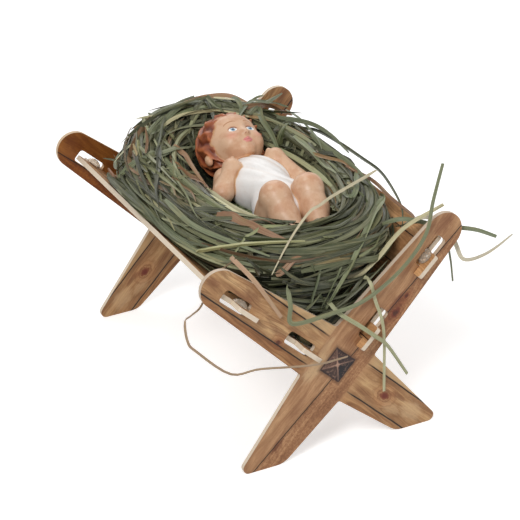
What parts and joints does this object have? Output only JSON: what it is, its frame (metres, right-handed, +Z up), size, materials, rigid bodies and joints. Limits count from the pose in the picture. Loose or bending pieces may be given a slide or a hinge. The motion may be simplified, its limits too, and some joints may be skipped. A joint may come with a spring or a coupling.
{
  "type": "nativity manger figurine",
  "caption": "Slot-together crossed-board manger with a wound hay nest that lifts out and a lying infant figurine that lifts off the hay.",
  "frame": {"origin": "on the floor, in the middle between the four feet", "axes": "+Z up, +Y along the trough towards the head end, +X to the right as seen from the foot end"},
  "size_m": [0.1758, 0.2163, 0.1491],
  "materials": {
    "pine_board": "printed pine look, satin",
    "clear_dot": "clear, glossy",
    "green_hay": "dried grass, matt",
    "pale_straw": "dried straw, matt",
    "painted_cast": "hand-painted, satin"
  },
  "bodies": {
    "manger": {"front_cross_board": "pine_board", "rear_cross_board": "pine_board", "left_side_panel": "pine_board", "left_rear_clear_dot": "clear_dot", "left_front_clear_dot": "clear_dot", "right_side_panel": "pine_board", "right_front_clear_dot": "clear_dot", "right_rear_clear_dot": "clear_dot"},
    "nest": {"hay_nest": "green_hay", "long_bent_blade": "green_hay", "right_hanging_blade": "green_hay", "low_hanging_blade": "green_hay", "right_side_blade": "green_hay", "right_drooping_blade": "green_hay", "pale_blade": "pale_straw", "left_arm_straw": "pale_straw", "left_straw_loop": "pale_straw", "brown_arching_blade": "pale_straw"},
    "infant": {"infant_figurine": "painted_cast"}
  },
  "joints": [
    {"name": "nest_lift", "type": "slide", "parent": "manger", "child": "nest", "axis": [0, 0, 1], "range_m": [0, 0.12]},
    {"name": "infant_lift", "type": "slide", "parent": "nest", "child": "infant", "axis": [0, 0, 1], "range_m": [0, 0.1]}
  ]
}
